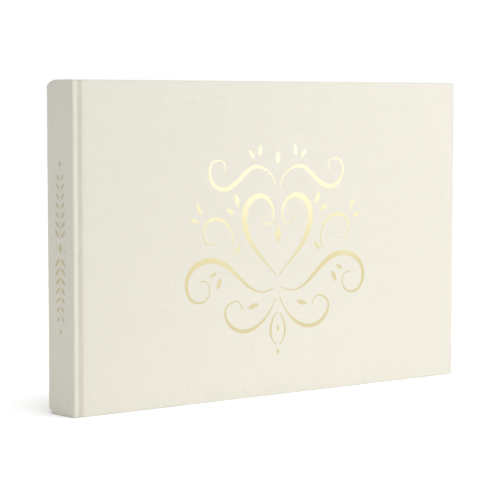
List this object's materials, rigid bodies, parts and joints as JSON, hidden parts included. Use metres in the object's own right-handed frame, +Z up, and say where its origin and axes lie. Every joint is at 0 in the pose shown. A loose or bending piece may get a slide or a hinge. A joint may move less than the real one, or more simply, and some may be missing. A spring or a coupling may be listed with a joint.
{
  "type": "wedding guest book",
  "caption": "Landscape cloth-covered hardcover guest book with square spine, sewn blank leaves and stamped foil ornaments; covers and leaves open.",
  "frame": {"origin": "middle of the closed book's tail end, on the surface it stands on", "axes": "+X from the spine to the fore edge, +Y from the front cover to the back cover, +Z up from tail to head"},
  "size_m": [0.238, 0.0212, 0.152],
  "materials": {
    "book_cloth": "fine plain-weave book cloth, matt",
    "grey_board": "grey board",
    "endpaper": "heavy uncoated ivory paper",
    "leaf_paper": "uncoated off-white paper",
    "kraft_paper": "kraft paper",
    "mull": "open gauze",
    "headband": "striped woven silk",
    "thread": "waxed linen thread",
    "gold_foil": "hot-stamped gold foil"
  },
  "bodies": {
    "case_spine": {"spine_board": "grey_board", "spine_cloth": "book_cloth", "front_joint_cloth": "book_cloth", "back_joint_cloth": "book_cloth", "front_endpaper_fold": "endpaper", "back_endpaper_fold": "endpaper", "mull": "mull", "spine_lining": "kraft_paper", "headband": "headband", "tailband": "headband", "sewing_thread": "thread", "spine_foil_ornament": "gold_foil", "signature_1_fold": "leaf_paper", "signature_2_fold": "leaf_paper", "signature_3_fold": "leaf_paper", "signature_4_fold": "leaf_paper", "signature_5_fold": "leaf_paper", "signature_6_fold": "leaf_paper", "signature_7_fold": "leaf_paper", "signature_8_fold": "leaf_paper"},
    "front_cover": {"front_board": "grey_board", "front_cover_cloth": "book_cloth", "front_pastedown": "endpaper", "front_mull_flange": "mull", "front_foil_ornament": "gold_foil"},
    "back_cover": {"back_board": "grey_board", "back_cover_cloth": "book_cloth", "back_pastedown": "endpaper", "back_mull_flange": "mull"},
    "front_flyleaf": {"front_flyleaf": "endpaper"},
    "signature_1_front_leaves": {"signature_1_front_leaves": "leaf_paper"},
    "signature_1_back_leaves": {"signature_1_back_leaves": "leaf_paper"},
    "signature_2_front_leaves": {"signature_2_front_leaves": "leaf_paper"},
    "signature_2_back_leaves": {"signature_2_back_leaves": "leaf_paper"},
    "signature_3_front_leaves": {"signature_3_front_leaves": "leaf_paper"},
    "signature_3_back_leaves": {"signature_3_back_leaves": "leaf_paper"},
    "signature_4_front_leaves": {"signature_4_front_leaves": "leaf_paper"},
    "signature_4_back_leaves": {"signature_4_back_leaves": "leaf_paper"},
    "back_flyleaf": {"back_flyleaf": "endpaper"},
    "signature_8_back_leaves": {"signature_8_back_leaves": "leaf_paper"},
    "signature_8_front_leaves": {"signature_8_front_leaves": "leaf_paper"},
    "signature_7_back_leaves": {"signature_7_back_leaves": "leaf_paper"},
    "signature_7_front_leaves": {"signature_7_front_leaves": "leaf_paper"},
    "signature_6_back_leaves": {"signature_6_back_leaves": "leaf_paper"},
    "signature_6_front_leaves": {"signature_6_front_leaves": "leaf_paper"},
    "signature_5_back_leaves": {"signature_5_back_leaves": "leaf_paper"},
    "signature_5_front_leaves": {"signature_5_front_leaves": "leaf_paper"}
  },
  "joints": [
    {"name": "front_cover_hinge", "type": "hinge", "parent": "case_spine", "child": "front_cover", "pos_m": [-0.1136, -0.01077, 0.076], "axis": [0, 0, -1], "range_deg": [0, 179]},
    {"name": "back_cover_hinge", "type": "hinge", "parent": "case_spine", "child": "back_cover", "pos_m": [-0.1136, 0.01077, 0.076], "axis": [0, 0, 1], "range_deg": [0, 179]},
    {"name": "front_flyleaf_bend", "type": "hinge", "parent": "case_spine", "child": "front_flyleaf", "pos_m": [-0.1079, -0.00702, 0.076], "axis": [0, 0, -1], "range_deg": [0, 130.1]},
    {"name": "signature_1_front_leaves_bend", "type": "hinge", "parent": "case_spine", "child": "signature_1_front_leaves", "pos_m": [-0.1079, -0.00702, 0.076], "axis": [0, 0, -1], "range_deg": [0, 116.6]},
    {"name": "signature_1_back_leaves_bend", "type": "hinge", "parent": "case_spine", "child": "signature_1_back_leaves", "pos_m": [-0.1079, -0.00702, 0.076], "axis": [0, 0, -1], "range_deg": [0, 103.1]},
    {"name": "signature_2_front_leaves_bend", "type": "hinge", "parent": "case_spine", "child": "signature_2_front_leaves", "pos_m": [-0.1079, -0.00702, 0.076], "axis": [0, 0, -1], "range_deg": [0, 89.6]},
    {"name": "signature_2_back_leaves_bend", "type": "hinge", "parent": "case_spine", "child": "signature_2_back_leaves", "pos_m": [-0.1079, -0.00702, 0.076], "axis": [0, 0, -1], "range_deg": [0, 76.1]},
    {"name": "signature_3_front_leaves_bend", "type": "hinge", "parent": "case_spine", "child": "signature_3_front_leaves", "pos_m": [-0.1079, -0.00702, 0.076], "axis": [0, 0, -1], "range_deg": [0, 62.6]},
    {"name": "signature_3_back_leaves_bend", "type": "hinge", "parent": "case_spine", "child": "signature_3_back_leaves", "pos_m": [-0.1079, -0.00702, 0.076], "axis": [0, 0, -1], "range_deg": [0, 49.1]},
    {"name": "signature_4_front_leaves_bend", "type": "hinge", "parent": "case_spine", "child": "signature_4_front_leaves", "pos_m": [-0.1079, -0.00702, 0.076], "axis": [0, 0, -1], "range_deg": [0, 35.6]},
    {"name": "signature_4_back_leaves_bend", "type": "hinge", "parent": "case_spine", "child": "signature_4_back_leaves", "pos_m": [-0.1079, -0.00702, 0.076], "axis": [0, 0, -1], "range_deg": [0, 22.1]},
    {"name": "back_flyleaf_bend", "type": "hinge", "parent": "case_spine", "child": "back_flyleaf", "pos_m": [-0.1079, 0.00702, 0.076], "axis": [0, 0, 1], "range_deg": [0, 130.1]},
    {"name": "signature_8_back_leaves_bend", "type": "hinge", "parent": "case_spine", "child": "signature_8_back_leaves", "pos_m": [-0.1079, 0.00702, 0.076], "axis": [0, 0, 1], "range_deg": [0, 116.6]},
    {"name": "signature_8_front_leaves_bend", "type": "hinge", "parent": "case_spine", "child": "signature_8_front_leaves", "pos_m": [-0.1079, 0.00702, 0.076], "axis": [0, 0, 1], "range_deg": [0, 103.1]},
    {"name": "signature_7_back_leaves_bend", "type": "hinge", "parent": "case_spine", "child": "signature_7_back_leaves", "pos_m": [-0.1079, 0.00702, 0.076], "axis": [0, 0, 1], "range_deg": [0, 89.6]},
    {"name": "signature_7_front_leaves_bend", "type": "hinge", "parent": "case_spine", "child": "signature_7_front_leaves", "pos_m": [-0.1079, 0.00702, 0.076], "axis": [0, 0, 1], "range_deg": [0, 76.1]},
    {"name": "signature_6_back_leaves_bend", "type": "hinge", "parent": "case_spine", "child": "signature_6_back_leaves", "pos_m": [-0.1079, 0.00702, 0.076], "axis": [0, 0, 1], "range_deg": [0, 62.6]},
    {"name": "signature_6_front_leaves_bend", "type": "hinge", "parent": "case_spine", "child": "signature_6_front_leaves", "pos_m": [-0.1079, 0.00702, 0.076], "axis": [0, 0, 1], "range_deg": [0, 49.1]},
    {"name": "signature_5_back_leaves_bend", "type": "hinge", "parent": "case_spine", "child": "signature_5_back_leaves", "pos_m": [-0.1079, 0.00702, 0.076], "axis": [0, 0, 1], "range_deg": [0, 35.6]},
    {"name": "signature_5_front_leaves_bend", "type": "hinge", "parent": "case_spine", "child": "signature_5_front_leaves", "pos_m": [-0.1079, 0.00702, 0.076], "axis": [0, 0, 1], "range_deg": [0, 22.1]}
  ],
  "couplings": [
    {"joint": "front_flyleaf_bend", "follows": "front_cover_hinge", "ratio": 0.72},
    {"joint": "signature_1_front_leaves_bend", "follows": "front_cover_hinge", "ratio": 0.645},
    {"joint": "signature_1_back_leaves_bend", "follows": "front_cover_hinge", "ratio": 0.57},
    {"joint": "signature_2_front_leaves_bend", "follows": "front_cover_hinge", "ratio": 0.495},
    {"joint": "signature_2_back_leaves_bend", "follows": "front_cover_hinge", "ratio": 0.42},
    {"joint": "signature_3_front_leaves_bend", "follows": "front_cover_hinge", "ratio": 0.345},
    {"joint": "signature_3_back_leaves_bend", "follows": "front_cover_hinge", "ratio": 0.27},
    {"joint": "signature_4_front_leaves_bend", "follows": "front_cover_hinge", "ratio": 0.195},
    {"joint": "signature_4_back_leaves_bend", "follows": "front_cover_hinge", "ratio": 0.12},
    {"joint": "back_flyleaf_bend", "follows": "back_cover_hinge", "ratio": 0.72},
    {"joint": "signature_8_back_leaves_bend", "follows": "back_cover_hinge", "ratio": 0.645},
    {"joint": "signature_8_front_leaves_bend", "follows": "back_cover_hinge", "ratio": 0.57},
    {"joint": "signature_7_back_leaves_bend", "follows": "back_cover_hinge", "ratio": 0.495},
    {"joint": "signature_7_front_leaves_bend", "follows": "back_cover_hinge", "ratio": 0.42},
    {"joint": "signature_6_back_leaves_bend", "follows": "back_cover_hinge", "ratio": 0.345},
    {"joint": "signature_6_front_leaves_bend", "follows": "back_cover_hinge", "ratio": 0.27},
    {"joint": "signature_5_back_leaves_bend", "follows": "back_cover_hinge", "ratio": 0.195},
    {"joint": "signature_5_front_leaves_bend", "follows": "back_cover_hinge", "ratio": 0.12}
  ]
}
